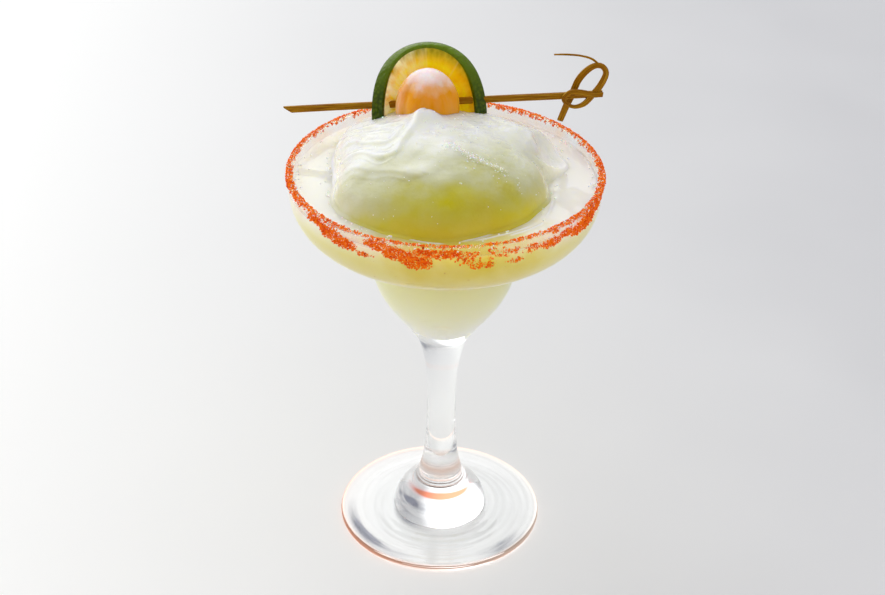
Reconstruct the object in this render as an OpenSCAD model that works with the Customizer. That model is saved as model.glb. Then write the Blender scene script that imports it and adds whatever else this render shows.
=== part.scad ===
// Frozen margarita in its stemmed glass: a two-bowl glass, the drink, a heap of slush,
// a salted lip, and a garnish of a folded lime wheel and a peeled lychee on a knotted pick.
// Millimetres, +Z up. The origin is the centre of the flat underside of the foot.

/* [Glass] */
// Height of the glass, foot to lip
glass_h = 157.5; // [135:1:190]
// Diameter over the lip
rim_d = 116; // [100:1:140]
// Depth of the wide upper bowl, lip to neck
upper_bowl_h = 34.5; // [30:0.5:42]
// Diameter at the neck between the two bowls
neck_d = 53; // [44:1:60]
// Diameter of the lower bowl at its fullest
lower_bowl_d = 54.2; // [46:1:62]
// Depth of the lower bowl, neck to where the stem begins
lower_bowl_h = 38.5; // [34:0.5:46]
// Thickness of the bowl wall
wall = 2.1; // [1.6:0.1:2.8]
// Solid glass under the drink, above the start of the stem
bowl_floor = 7; // [5:0.5:10]
// Diameter of the stem at its thinnest
stem_d = 11.2; // [9:0.2:14]
// Diameter of the foot
foot_d = 80.5; // [66:0.5:97]
// Thickness of the foot at its edge
foot_edge = 2.8; // [2:0.1:4]
// Diameter of the domed boss where the stem spreads into the foot
boss_d = 37; // [30:1:43]
// Height of the shoulder of that boss above the table
boss_h = 15; // [12:0.5:18]
// Height at which the stem starts to spread into the boss
spread_h = 27; // [24:0.5:32]

/* [Drink] */
// Distance from the lip down to the surface of the drink
headroom = 5; // [4.6:0.1:7]

/* [Slush] */
// Height of the heap above the drink
heap_h = 19; // [15:0.5:23]
// Mean distance from the edge of the heap to the glass
heap_margin = 11.5; // [9.5:0.1:14]
// Height of the small peak in front of the lychee
peak_h = 5; // [3:0.1:6.5]

/* [Salt] */
// Thickness of the salt crust on the lip
salt_t = 0.9; // [0.6:0.1:1.4]
// How far the crust comes down the outside of the lip
salt_drop = 4; // [3:0.5:7]

/* [Lime] */
// Diameter of the lime wheel
wheel_d = 51.4; // [42:0.2:56]
// Thickness of the slice
wheel_t = 4.6; // [3.6:0.1:5.6]
// Radius that the slice is folded round
bend_r = 21.2; // [18:0.2:26]
// Distance from the back of the folded slice to the glass, at the surface of the drink
wheel_margin = 17; // [14:0.5:22]
// Height of the middle of the slice above the drink
wheel_lift = 10.5; // [8:0.5:13]
// Lean of the slice away from the upright, towards the back
wheel_lean = 6.6; // [3:0.2:9]
// Sideways tilt of the slice
wheel_tilt = 2.3; // [0:0.1:4]
// Turn of the slice about the vertical
wheel_turn = 4.2; // [0:0.1:8]

/* [Lychee] */
// Diameter of the peeled lychee
lychee_d = 24.8; // [20:0.2:29]
// Length of the lychee, which stands on end
lychee_h = 33; // [28:0.5:37]
// Height of the lychee's middle above the middle of the slice
lychee_lift = 6.3; // [4:0.1:8]

/* [Pick] */
// Length of the shaft, point to blunt end
pick_l = 120; // [105:1:140]
// Width of the shaft, seen from the front
pick_w = 2.5; // [2:0.1:3]
// Thickness of the shaft, front to back
pick_t = 1.7; // [1.3:0.1:2.2]
// Rise of the shaft towards its knot
pick_rise = 4.3; // [2:0.1:6]
// Length of shaft between the lychee's middle and the blunt end
pick_reach = 65.6; // [58:0.2:76]
// Length of the slanted cut at the point
pick_cut = 3.2; // [2:0.1:5]

/* [Hidden] */
round_fn = 96;
// Clearance left where one piece sits in or on another
seat = 0.1;
hole_seat = 0.15;

// Heights of the glass, from the lip down to the stem, and the stem's own radii
rim_r = rim_d / 2;
lip_r = wall / 2;
lip_z = glass_h - lip_r;
neck_z = glass_h - upper_bowl_h;
stem_top_z = neck_z - lower_bowl_h;
floor_z = stem_top_z + bowl_floor;
full_z = neck_z - 5.5;
level = glass_h - headroom;
stem_top_r = 9.5;
stem_foot_r = 7.2;
pinch_r = stem_d / 2;
pinch_z = 52;

function bezier(p, n) = [
    for (i = [0:n])
        let (t = i / n, s = 1 - t)
            s * s * s * p[0] + 3 * s * s * t * p[1] + 3 * s * t * t * p[2] + t * t * t * p[3]
];
// Between b and c, where t is 0 to 1, on the smooth curve through a, b, c and d
function spline(a, b, c, d, t) =
    b + t * ((c - a) / 2 + t * ((a - 2.5 * b + 2 * c - d / 2) + t * ((3 * b - 3 * c + d - a) / 2)));
function but_first(list) = [for (i = [1:len(list) - 1]) list[i]];
function reversed(list) = [for (i = [len(list) - 1:-1:0]) list[i]];
function arc(c, r, from, to, n) = [
    for (i = [0:n])
        let (a = from + (to - from) * i / n)
            c + r * [cos(a), sin(a)]
];

// The upper bowl: upright at the lip, running in to a shallow slope at the neck.
// inset moves the curve inwards, square to it at both ends.
neck_slope = 27;
function upper_bowl(inset) =
    let (
        top = [rim_r - inset, lip_z],
        low = [neck_d / 2 - inset * sin(neck_slope), neck_z + inset * cos(neck_slope)]
    )
    bezier([
        low,
        low + 26 * [cos(neck_slope), sin(neck_slope)],
        top - [0, 20.3],
        top
    ], 12);

// The lower bowl: a short waist under the neck, the fullest width, then in to the stem
function lower_bowl_outside() =
    let (full = [lower_bowl_d / 2, full_z], end = [stem_top_r, stem_top_z])
    bezier([end, end + [3.4, 7.6], full - [0, 13], full], 12);

function lower_bowl_inside() =
    let (full = [lower_bowl_d / 2 - wall - 0.2, full_z], floor_at = [0, floor_z])
    bezier([floor_at, floor_at + [10.5, 0], full - [0, 10.5], full], 12);

// The stem: thinnest a third of the way up, spreading gently into the foot
function stem() = concat(
    bezier([
        [stem_foot_r, spread_h],
        [stem_foot_r - 1.2, spread_h + 8],
        [pinch_r, pinch_z - 10],
        [pinch_r, pinch_z]
    ], 6),
    but_first(bezier([
        [pinch_r, pinch_z],
        [pinch_r, pinch_z + 14],
        [stem_top_r - 3.8, stem_top_z - 12],
        [stem_top_r, stem_top_z]
    ], 8))
);

// The foot: a rounded edge, two low rings pressed in its top, and the boss
foot_r = foot_d / 2;
boss_r = boss_d / 2;
edge_r = foot_edge / 2;
boss_base_z = 4.4;
function foot_top(r) =
    let (u = (r - boss_r) / (foot_r - edge_r - boss_r))
    foot_edge + (boss_base_z - foot_edge) * (1 - u) + 0.35 * sin(u * 540) * (1 - u * 0.6);
function foot() = concat(
    [[0, 0]],
    arc([foot_r - edge_r, edge_r], edge_r, -90, 90, 8),
    [for (i = [15:-1:0]) let (r = boss_r + (foot_r - edge_r - boss_r) * i / 16) [r, foot_top(r)]],
    but_first(bezier([
        [boss_r, boss_base_z],
        [boss_r - 0.4, boss_h - 4.6],
        [boss_r - 3.2, boss_h - 0.6],
        [boss_r - 6.6, boss_h + 1.8]
    ], 8)),
    but_first(bezier([
        [boss_r - 6.6, boss_h + 1.8],
        [boss_r - 9, boss_h + 3.6],
        [stem_foot_r + 0.9, spread_h - 4],
        [stem_foot_r, spread_h]
    ], 6))
);

outside = concat(foot(), but_first(stem()), but_first(lower_bowl_outside()), upper_bowl(0));
inside = concat(lower_bowl_inside(), upper_bowl(wall));
lip = arc([rim_r - lip_r, lip_z], lip_r, 0, 180, 8);

module glass() {
    color("gainsboro")
        rotate_extrude($fn = round_fn)
            polygon(concat(outside, but_first(lip), but_first(reversed(inside))));
}

// Radius of the surface of the drink, where the inside of the upper bowl meets the level
function inner_r(z, list) =
    let (k = [for (i = [0:len(list) - 2]) if (list[i][1] <= z && list[i + 1][1] > z) i][0])
    list[k][0] + (list[k + 1][0] - list[k][0]) * (z - list[k][1]) / (list[k + 1][1] - list[k][1]);
surface_r = inner_r(level, upper_bowl(wall)) - seat;

module drink_body() {
    fill = concat(
        [for (p = lower_bowl_inside()) [max(0, p[0] - seat), p[1] + seat]],
        [for (p = upper_bowl(wall)) if (p[1] < level) [p[0] - seat, p[1]]],
        [[surface_r, level], [0, level]]
    );
    rotate_extrude($fn = round_fn)
        polygon(fill);
}

module drink() {
    color("palegoldenrod")
        difference() {
            drink_body();
            wheel_shape(hole_seat);
            lychee_shape(hole_seat);
        }
}

// The heap of slush: a steep-sided dome on an uneven, lobed outline, with one small peak
heap_x = -1;
heap_y = 2;
// How far the outline stands out from its mean radius, every 22.5 degrees from +X
heap_lobes = [-4, 2, 3, -2, -3.5, 0, 4.5, -1, -5.5, -2.5, 1, 1, 2.5, -0.5, -2, -5.5];
// Fraction of its height that the dome loses with each millimetre towards the back
heap_lean = 0.0035;
peak_at = [-9, 11];
peak_spread = 8;
heap_angles = 48;
heap_rings = 12;
function lobe(k) = heap_lobes[(k + len(heap_lobes)) % len(heap_lobes)];
function heap_reach(a) =
    let (step = 360 / len(heap_lobes), k = floor(a / step), t = a / step - k)
    surface_r - heap_margin + spline(lobe(k - 1), lobe(k), lobe(k + 1), lobe(k + 2), t);
function heap_top(x, y, u) =
    level + heap_h * pow(1 - pow(u, 2.2), 0.47) * (1 - heap_lean * y)
    + peak_h * exp(-(pow(x - peak_at[0], 2) + pow(y - peak_at[1], 2)) / (peak_spread * peak_spread));
function heap_point(u, a) =
    let (
        x = heap_x + u * heap_reach(a) * cos(a),
        y = heap_y + u * heap_reach(a) * sin(a)
    )
    [x, y, u < 1 ? heap_top(x, y, u) : level];

module heap_body() {
    top = [
        for (i = [1:heap_rings])
            for (j = [0:heap_angles - 1])
                heap_point(sin(90 * i / heap_rings), 360 * j / heap_angles)
    ];
    centre = len(top);
    last = (heap_rings - 1) * heap_angles;
    caps = [
        for (j = [0:heap_angles - 1])
            let (k = (j + 1) % heap_angles)
                [k, j, centre]
    ];
    base = [[for (j = [0:heap_angles - 1]) last + j]];
    sides = [
        for (i = [0:heap_rings - 2])
            for (j = [0:heap_angles - 1])
                let (k = (j + 1) % heap_angles, a = i * heap_angles, b = a + heap_angles)
                    each [[a + j, a + k, b + j], [a + k, b + k, b + j]]
    ];
    polyhedron(concat(top, [heap_point(0, 0)]), concat(caps, base, sides));
}

module slush() {
    color("honeydew")
        difference() {
            heap_body();
            wheel_shape(hole_seat);
            lychee_shape(hole_seat);
            shaft(hole_seat);
        }
}

// The salt crust: a thin skin over the lip and a little way down its outside
module salt_rim() {
    lip_mid = [rim_r - lip_r, lip_z];
    thin = seat + salt_t * 0.4;
    hug = concat(
        [[rim_r + seat, glass_h - salt_drop]],
        arc(lip_mid, lip_r + seat, 0, 180, 8),
        [[rim_r - wall - seat, lip_z - 1.2]]
    );
    crust = concat(
        [[rim_r + thin, glass_h - salt_drop]],
        arc(lip_mid, lip_r + seat + salt_t, 0, 180, 8),
        [[rim_r - wall - thin, lip_z - 1.2]]
    );
    color("orangered")
        rotate_extrude($fn = round_fn)
            polygon(concat(crust, reversed(hug)));
}

// The garnish is placed by the back of the folded slice
wheel_back = [-7.2, surface_r - wheel_margin, level + wheel_lift];
wheel_angles = 48;
wheel_rings = 4;
// A point of the slice, grow bigger all round: rho and a in the flat slice, side -1 or 1
function wheel_point(rho, a, side, grow) =
    let (
        turn = (rho * sin(a) / bend_r) * 180 / PI,
        r = bend_r + side * (wheel_t / 2 + grow)
    )
    [r * sin(turn), r * cos(turn) - bend_r, rho * cos(a)];

module wheel_shape(grow) {
    count = wheel_angles * wheel_rings;
    edge = wheel_d / 2 + grow;
    face = function (side) concat(
        [
            for (i = [1:wheel_rings])
                for (j = [0:wheel_angles - 1])
                    wheel_point(edge * i / wheel_rings, 360 * j / wheel_angles, side, grow)
        ],
        [wheel_point(0, 0, side, grow)]
    );
    web = [
        for (j = [0:wheel_angles - 1])
            let (k = (j + 1) % wheel_angles)
                each concat(
                    [[j, k, count]],
                    [
                        for (i = [1:wheel_rings - 1])
                            let (a = (i - 1) * wheel_angles, b = i * wheel_angles)
                                each [[a + j, b + j, b + k], [a + j, b + k, a + k]]
                    ]
                )
    ];
    back = [for (f = web) [f[2] + count + 1, f[1] + count + 1, f[0] + count + 1]];
    rim_at = (wheel_rings - 1) * wheel_angles;
    rind = [
        for (j = [0:wheel_angles - 1])
            let (k = (j + 1) % wheel_angles, a = rim_at, b = rim_at + count + 1)
                each [[a + j, b + j, b + k], [a + j, b + k, a + k]]
    ];
    translate(wheel_back)
        rotate([-wheel_lean, -wheel_tilt, wheel_turn])
            polyhedron(concat(face(-1), face(1)), concat(web, back, rind));
}

module lime_wheel() {
    color("gold")
        difference() {
            wheel_shape(0);
            shaft(hole_seat);
        }
}

// The lychee stands on end inside the fold, touching the back of it
lychee_at = wheel_back + [0, -wheel_t / 2 - lychee_d / 2 + lychee_lift * tan(wheel_lean) / 2 - 0.3, lychee_lift];
// Egg-shaped profile: a little fuller below the middle
function lychee_r(t, grow) = (lychee_d / 2 + grow) * sin(t) * (1 - 0.02 * cos(t));

module lychee_shape(grow) {
    half = [for (i = [0:16]) let (t = 180 * i / 16) [lychee_r(t, grow), (lychee_h / 2 + grow) * cos(t)]];
    translate(lychee_at)
        rotate_extrude($fn = 64)
            polygon(half);
}

module lychee() {
    color("mistyrose")
        difference() {
            lychee_shape(0);
            shaft(hole_seat);
        }
}

// The pick: shaft along local X ending at 0, running through the lychee's middle
pick_back = 5.4;
pick_drop = -0.4;
module on_pick() {
    translate(lychee_at + [0, pick_back, -pick_drop])
        rotate([0, -pick_rise, 0])
            translate([pick_reach, 0, 0])
                children();
}

module shaft(grow) {
    w = pick_w / 2 + grow;
    on_pick()
        rotate([90, 0, 0])
            linear_extrude(pick_t + 2 * grow, center = true)
                polygon([[0, -w], [0, w], [-pick_l, w], [-pick_l + pick_cut, -w]]);
}

// Routes of the knot, along the shaft, back from its front face, and up, from the blunt end
strand = [
    [-16, 4, -12.2], [-13.5, 2.6, -5.5], [-11.3, 1.6, -0.5], [-8.9, 1.4, 5.2], [-5.8, 0.8, 9.2],
    [-2.6, 0.2, 11.4], [0.2, 0, 11], [1.4, -0.3, 8.2], [-0.7, -1, 4], [-3.8, -1.6, 0.4],
    [-6.9, -1.2, -3.2], [-10.3, -0.6, -4.6], [-13.2, -0.8, -3.4], [-14.6, -1.8, -0.4],
    [-12, -2.6, 2.3], [-8.6, -2.8, 2.2], [-4.4, -2.4, 1], [0, -1.2, 0.2]
];
strand_w = [2.3, 2.4, 2.2, 2.2, 2.2, 2, 1.8, 2.1, 2.2, 2, 1.5, 1.1, 1.1, 1.4, 1.8, 2, 2.1, 1.8];
strand_t = 1.1;
fibre = [[-0.6, 0, 11.2], [-3.5, 0, 14.2], [-7.6, 0.2, 15.7], [-12.4, 0.4, 16.4], [-17.6, 0.4, 16.7]];
fibre_w = [0.9, 0.8, 0.7, 0.7, 0.5];
fibre_t = 0.6;

// Smooth curve through every point of a route, with n steps between two points
function at(list, i) = list[min(max(i, 0), len(list) - 1)];
function smooth(list, n) = [
    for (s = [0:(len(list) - 1) * n])
        let (
            i = min(floor(s / n), len(list) - 2),
            t = s / n - i,
            a = at(list, i - 1), b = at(list, i), c = at(list, i + 1), d = at(list, i + 2)
        )
        spline(a, b, c, d, t)
];
function unit(v) = v / norm(v);

// A flat strip swept along a route: w across it as seen from the front, t from front to back
module strip(route, widths, t, steps, sides) {
    path = smooth(route, steps);
    wide = smooth(widths, steps);
    last = len(path) - 1;
    rings = [
        for (i = [0:last])
            let (
                dir = unit(at(path, i + 1) - at(path, i - 1)),
                across = unit([-dir[2], 0, dir[0]]),
                depth = cross(dir, across)
            )
            for (j = [0:sides - 1])
                let (a = 360 * (j + 0.5) / sides)
                    path[i] + across * wide[i] / 2 * cos(a) * 1.08 + depth * t / 2 * sin(a) * 1.08
    ];
    walls = [
        for (i = [0:last - 1])
            for (j = [0:sides - 1])
                let (k = (j + 1) % sides, a = i * sides, b = a + sides)
                    each [[a + j, b + j, b + k], [a + j, b + k, a + k]]
    ];
    ends = [[for (j = [0:sides - 1]) j], [for (j = [sides - 1:-1:0]) last * sides + j]];
    polyhedron(rings, concat(walls, ends));
}

module pick() {
    color("peru")
        union() {
            shaft(0);
            on_pick() {
                strip(strand, strand_w, strand_t, 3, 8);
                strip(fibre, fibre_w, fibre_t, 4, 6);
            }
        }
}

glass();
drink();
slush();
salt_rim();
lime_wheel();
lychee();
pick();
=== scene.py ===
"""A frozen margarita: how the glass, the drink and its garnish look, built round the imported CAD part."""

import itertools

import bpy
import numpy as np
from mathutils import Matrix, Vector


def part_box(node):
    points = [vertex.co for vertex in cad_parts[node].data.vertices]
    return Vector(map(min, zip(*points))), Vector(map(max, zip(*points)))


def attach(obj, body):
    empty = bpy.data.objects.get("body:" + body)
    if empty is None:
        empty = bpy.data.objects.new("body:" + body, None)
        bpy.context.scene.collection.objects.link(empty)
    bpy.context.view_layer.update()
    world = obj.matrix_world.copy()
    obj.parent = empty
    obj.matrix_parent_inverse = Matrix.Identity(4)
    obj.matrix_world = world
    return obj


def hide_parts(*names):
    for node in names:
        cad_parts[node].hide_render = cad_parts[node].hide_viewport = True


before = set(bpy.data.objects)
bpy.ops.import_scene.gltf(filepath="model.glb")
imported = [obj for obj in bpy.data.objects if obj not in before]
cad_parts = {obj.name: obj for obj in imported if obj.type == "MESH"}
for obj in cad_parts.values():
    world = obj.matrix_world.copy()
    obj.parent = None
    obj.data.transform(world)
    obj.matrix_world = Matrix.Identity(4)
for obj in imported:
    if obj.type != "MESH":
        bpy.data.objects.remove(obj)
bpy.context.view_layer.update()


# ---------------------------------------------------------------- Glass
# One piece of pressed clear glass: a flat foot with a domed boss, a waisted stem, a small lower
# bowl and a wide upper bowl. It is a revolved wall with a fire-polished, half-round lip, and the
# foot is a little hollow underneath, so that it stands on its rim.

MM = 0.001
glass_top = np.array(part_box("glass")[1]) / MM
rim_r, glass_h = glass_top[0], glass_top[2]
wall = 2.1
lip_r = wall / 2
lip_z = glass_h - lip_r
neck_r, neck_z, neck_slope = 26.5, glass_h - 34.5, np.radians(27)
full_r, full_z = 27.1, neck_z - 5.5
stem_top = np.array([9.5, neck_z - 38.5])
floor_z = stem_top[1] + 7
foot_r, foot_edge = 40.25, 2.8
boss_r, boss_h, boss_base_z = 18.5, 15.0, 4.4
stem_foot = np.array([7.2, 27.0])
pinch = np.array([5.6, 52.0])
stem_widest = 9
glass_sides = 256


def bezier(a, b, c, d, steps):
    """Cubic Bezier curve: the four points weighted by the cubic Bernstein terms at even steps."""
    t = np.linspace(0, 1, steps + 1)[:, None]
    s = 1 - t
    a, b, c, d = (np.array(p, float) for p in (a, b, c, d))
    return s**3 * a + 3 * s * s * t * b + 3 * s * t * t * c + t**3 * d


def arc(centre, radius, start, end, steps):
    """Points of a circle: centre plus radius times cosine and sine of evenly stepped degrees."""
    a = np.radians(np.linspace(start, end, steps + 1))
    return np.array(centre) + radius * np.stack([np.cos(a), np.sin(a)], 1)


def upper_bowl(inset, steps=44):
    """Bezier from the neck, leaving along its slope, to the lip, arriving upright; inset goes inwards."""
    slope = np.array([np.cos(neck_slope), np.sin(neck_slope)])
    low = np.array([neck_r, neck_z]) + inset * np.array([-slope[1], slope[0]])
    top = np.array([rim_r - inset, lip_z])
    return bezier(low, low + 26 * slope, top - [0, 20.3], top, steps)


def lower_bowl_inside(steps=36):
    """Bezier from the middle of the floor, level, to the fullest width of the lower bowl, upright."""
    full = np.array([full_r - wall - 0.2, full_z])
    return bezier([0, floor_z], [10.5, floor_z], full - [0, 10.5], full, steps)


def foot_and_stem():
    """Rounded edge, gently ringed top of the foot, domed boss, then the stem thinnest at its pinch."""
    edge_r = foot_edge / 2
    r = np.linspace(foot_r - edge_r, boss_r + 0.6, 64)
    u = (r - boss_r) / (foot_r - edge_r - boss_r)
    rings = 0.35 * np.sin(u * 3 * np.pi) * (1 - 0.6 * u) + 0.06 * np.sin(u * 13 * np.pi)
    top = np.stack([r, foot_edge + (boss_base_z - foot_edge) * (1 - u) + rings], 1)
    shoulder = np.array([boss_r - 6.6, boss_h + 1.8])
    under = np.linspace(0, foot_r - edge_r - 4, 24)
    hollow = 0.5 * (1 - (under / under[-1]) ** 4)
    return [
        np.stack([under, hollow], 1),
        arc([foot_r - edge_r, edge_r], edge_r, -90, 90, 14)[:-1],
        top,
        bezier([boss_r, boss_base_z], [boss_r - 0.4, boss_h - 4.6], shoulder + [3.4, -2.4], shoulder, 18),
        bezier(shoulder, shoulder - [2.4, -1.8], stem_foot + [0.9, -4], stem_foot, 14)[1:],
        bezier(stem_foot, stem_foot + [-1.2, 8], pinch - [0, 10], pinch, 14)[1:],
        bezier(pinch, pinch + [0, 14], stem_top - [3.8, 12], stem_top, 20)[1:],
    ]


def revolve(profile, segments):
    """A profile that starts and ends on the axis, turned about it: radius times cosine and sine.
    Returns the points, ring by ring with one pole at each end, and the faces, facing outwards
    where the profile runs up the outside and down the inside."""
    rings = np.array(profile)[1:-1]
    a = np.linspace(0, 2 * np.pi, segments, endpoint=False)
    x = rings[:, :1] * np.cos(a)
    y = rings[:, :1] * np.sin(a)
    z = np.repeat(rings[:, 1:], segments, 1)
    points = np.stack([x, y, z], 2).reshape(-1, 3)
    poles = [[0, 0, profile[0][1]], [0, 0, profile[-1][1]]]
    return np.vstack([points, poles]), wrapped_faces(len(rings), segments)


def wrapped_faces(rows, cols):
    """Quads of a grid of rows whose columns close on themselves, with a fan to a pole at each end."""
    i = np.arange(rows - 1)[:, None] * cols
    j = np.arange(cols)[None, :]
    k = (j + 1) % cols
    quads = np.stack([i + j, i + k, i + cols + k, i + cols + j], 2).reshape(-1, 4)
    first, last = rows * cols, rows * cols + 1
    j, k = j[0], k[0]
    end = (rows - 1) * cols
    start_fan = np.stack([np.full(cols, first), k, j], 1)
    end_fan = np.stack([np.full(cols, last), end + j, end + k], 1)
    return quads.tolist() + start_fan.tolist() + end_fan.tolist()


def lay_mesh(name, points, faces, smooth=True):
    """A mesh object at the origin with its points given in millimetres."""
    mesh = bpy.data.meshes.new(name)
    mesh.from_pydata((np.asarray(points) * MM).tolist(), [], faces)
    mesh.polygons.foreach_set("use_smooth", [smooth] * len(mesh.polygons))
    mesh.update()
    piece = bpy.data.objects.new(name, mesh)
    bpy.context.scene.collection.objects.link(piece)
    return piece


def blank_material(name):
    """A node material holding one Principled shader; returns the material, its tree and the shader."""
    material = bpy.data.materials.new(name)
    material.use_nodes = True
    tree = material.node_tree
    return material, tree, tree.nodes["Principled BSDF"]


def set_inputs(node, values):
    """Gives each named input of a node its plain value."""
    for name, value in values.items():
        node.inputs[name].default_value = value


def mottle_group():
    """Node group: soft patches at a given scale, drawn out as a mask from 0 to 1."""
    group = bpy.data.node_groups.new("soft_mottle", "ShaderNodeTree")
    for name, way, kind in (
        ("Vector", "INPUT", "Vector"), ("Scale", "INPUT", "Float"),
        ("Detail", "INPUT", "Float"), ("Mask", "OUTPUT", "Float"),
    ):
        group.interface.new_socket(name, in_out=way, socket_type="NodeSocket" + kind)
    nodes, links = group.nodes, group.links
    given, out = nodes.new("NodeGroupInput"), nodes.new("NodeGroupOutput")
    noise = nodes.new("ShaderNodeTexNoise")
    spread = nodes.new("ShaderNodeMapRange")
    set_inputs(spread, {"From Min": 0.32, "From Max": 0.68})
    for name in ("Vector", "Scale", "Detail"):
        links.new(given.outputs[name], noise.inputs[name])
    links.new(noise.outputs["Fac"], spread.inputs["Value"])
    links.new(spread.outputs["Result"], out.inputs["Mask"])
    return group


soft_mottle = mottle_group()


def mottle(tree, vector, scale, detail=3.0):
    """Places the mottle group in a material and returns its mask."""
    node = tree.nodes.new("ShaderNodeGroup")
    node.node_tree = soft_mottle
    set_inputs(node, {"Scale": scale, "Detail": detail})
    tree.links.new(vector, node.inputs["Vector"])
    return node.outputs["Mask"]


def mixed(tree, factor, a, b):
    """Colour a where factor is 0 and colour b where it is 1; each may be a socket or an RGB value."""
    mix = tree.nodes.new("ShaderNodeMix")
    mix.data_type = "RGBA"
    for socket, value in ((mix.inputs["Factor"], factor), (mix.inputs["A"], a), (mix.inputs["B"], b)):
        if isinstance(value, bpy.types.NodeSocket):
            tree.links.new(value, socket)
        elif isinstance(value, tuple):
            socket.default_value = (*value, 1)
        else:
            socket.default_value = value
    return mix.outputs["Result"]


def sums(tree, operation, a, b=0.0, clamp=False):
    """A Math node on two sockets or numbers; returns its value."""
    node = tree.nodes.new("ShaderNodeMath")
    node.operation = operation
    node.use_clamp = clamp
    for socket, value in zip(node.inputs, (a, b)):
        if isinstance(value, bpy.types.NodeSocket):
            tree.links.new(value, socket)
        else:
            socket.default_value = value
    return node.outputs["Value"]


def bumped(tree, shader, height, strength, distance):
    """Feeds a height through a Bump node into the shader's normal."""
    bump = tree.nodes.new("ShaderNodeBump")
    set_inputs(bump, {"Strength": strength, "Distance": distance})
    tree.links.new(height, bump.inputs["Height"])
    tree.links.new(bump.outputs["Normal"], shader.inputs["Normal"])


def object_place(tree):
    """Object coordinates, and the same as separate X, Y and Z in millimetres."""
    place = tree.nodes.new("ShaderNodeTexCoord").outputs["Object"]
    scaled = tree.nodes.new("ShaderNodeVectorMath")
    scaled.operation = "SCALE"
    set_inputs(scaled, {"Scale": 1 / MM})
    axes = tree.nodes.new("ShaderNodeSeparateXYZ")
    tree.links.new(place, scaled.inputs["Vector"])
    tree.links.new(scaled.outputs["Vector"], axes.inputs["Vector"])
    return place, axes.outputs


def bell(tree, value, middle, half):
    """1 where value is at the middle, falling straight to 0 at that half-width on either side."""
    away = sums(tree, "ABSOLUTE", sums(tree, "SUBTRACT", value, middle))
    return sums(tree, "SUBTRACT", 1.0, sums(tree, "DIVIDE", away, half), clamp=True)


def climb(tree, value, start, full):
    """0 where value is at start or before it, rising straight to 1 at full."""
    return sums(tree, "DIVIDE", sums(tree, "SUBTRACT", value, start), full - start, clamp=True)


def product(tree, *factors):
    """All the factors multiplied together."""
    total = factors[0]
    for factor in factors[1:]:
        total = sums(tree, "MULTIPLY", total, factor)
    return total


def paint(tree, shader, hue, shine=0.0, shine_hue=None):
    """Gives the shader its base colour and, where it shines, its emission, a painted glow: the same colour
    or shine_hue, at the constant strength shine."""
    tree.links.new(hue, shader.inputs["Base Color"])
    if shine:
        tree.links.new(shine_hue or hue, shader.inputs["Emission Color"])
        set_inputs(shader, {"Emission Strength": shine})


def painted_dark_reflections(tree, radius, turn, z):
    """Mask of the painted dark reflections, streaks drawn out round the axis: at the foot's rim, on the boss
    and under the bowl, on the left and more faintly on the right of the front."""
    drawn = tree.nodes.new("ShaderNodeCombineXYZ")
    for socket, value, scale in zip(drawn.inputs, (radius, turn, z), (0.42, 1.6, 0.3)):
        tree.links.new(product(tree, value, scale), socket)
    left = bell(tree, turn, -0.95, 0.75)
    right = product(tree, bell(tree, turn, 0.75, 0.35), 0.6)
    rim = product(tree, bell(tree, radius, foot_r - 4.4, 2.2), sums(tree, "LESS_THAN", z, 8))
    boss = product(tree, bell(tree, radius, boss_r - 2, 3), sums(tree, "LESS_THAN", z, boss_h))
    under_bowl = bell(tree, z, stem_top[1], 4.5)
    dark_reflection = sums(tree, "ADD", product(tree, rim, sums(tree, "ADD", left, right)), product(tree, boss, left))
    dark_reflection = sums(tree, "ADD", dark_reflection, product(tree, under_bowl, left))
    dark_reflection = product(tree, dark_reflection, mottle(tree, drawn.outputs["Vector"], 1.3, 3), 2.2)
    return sums(tree, "MINIMUM", dark_reflection, 1.0)


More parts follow.
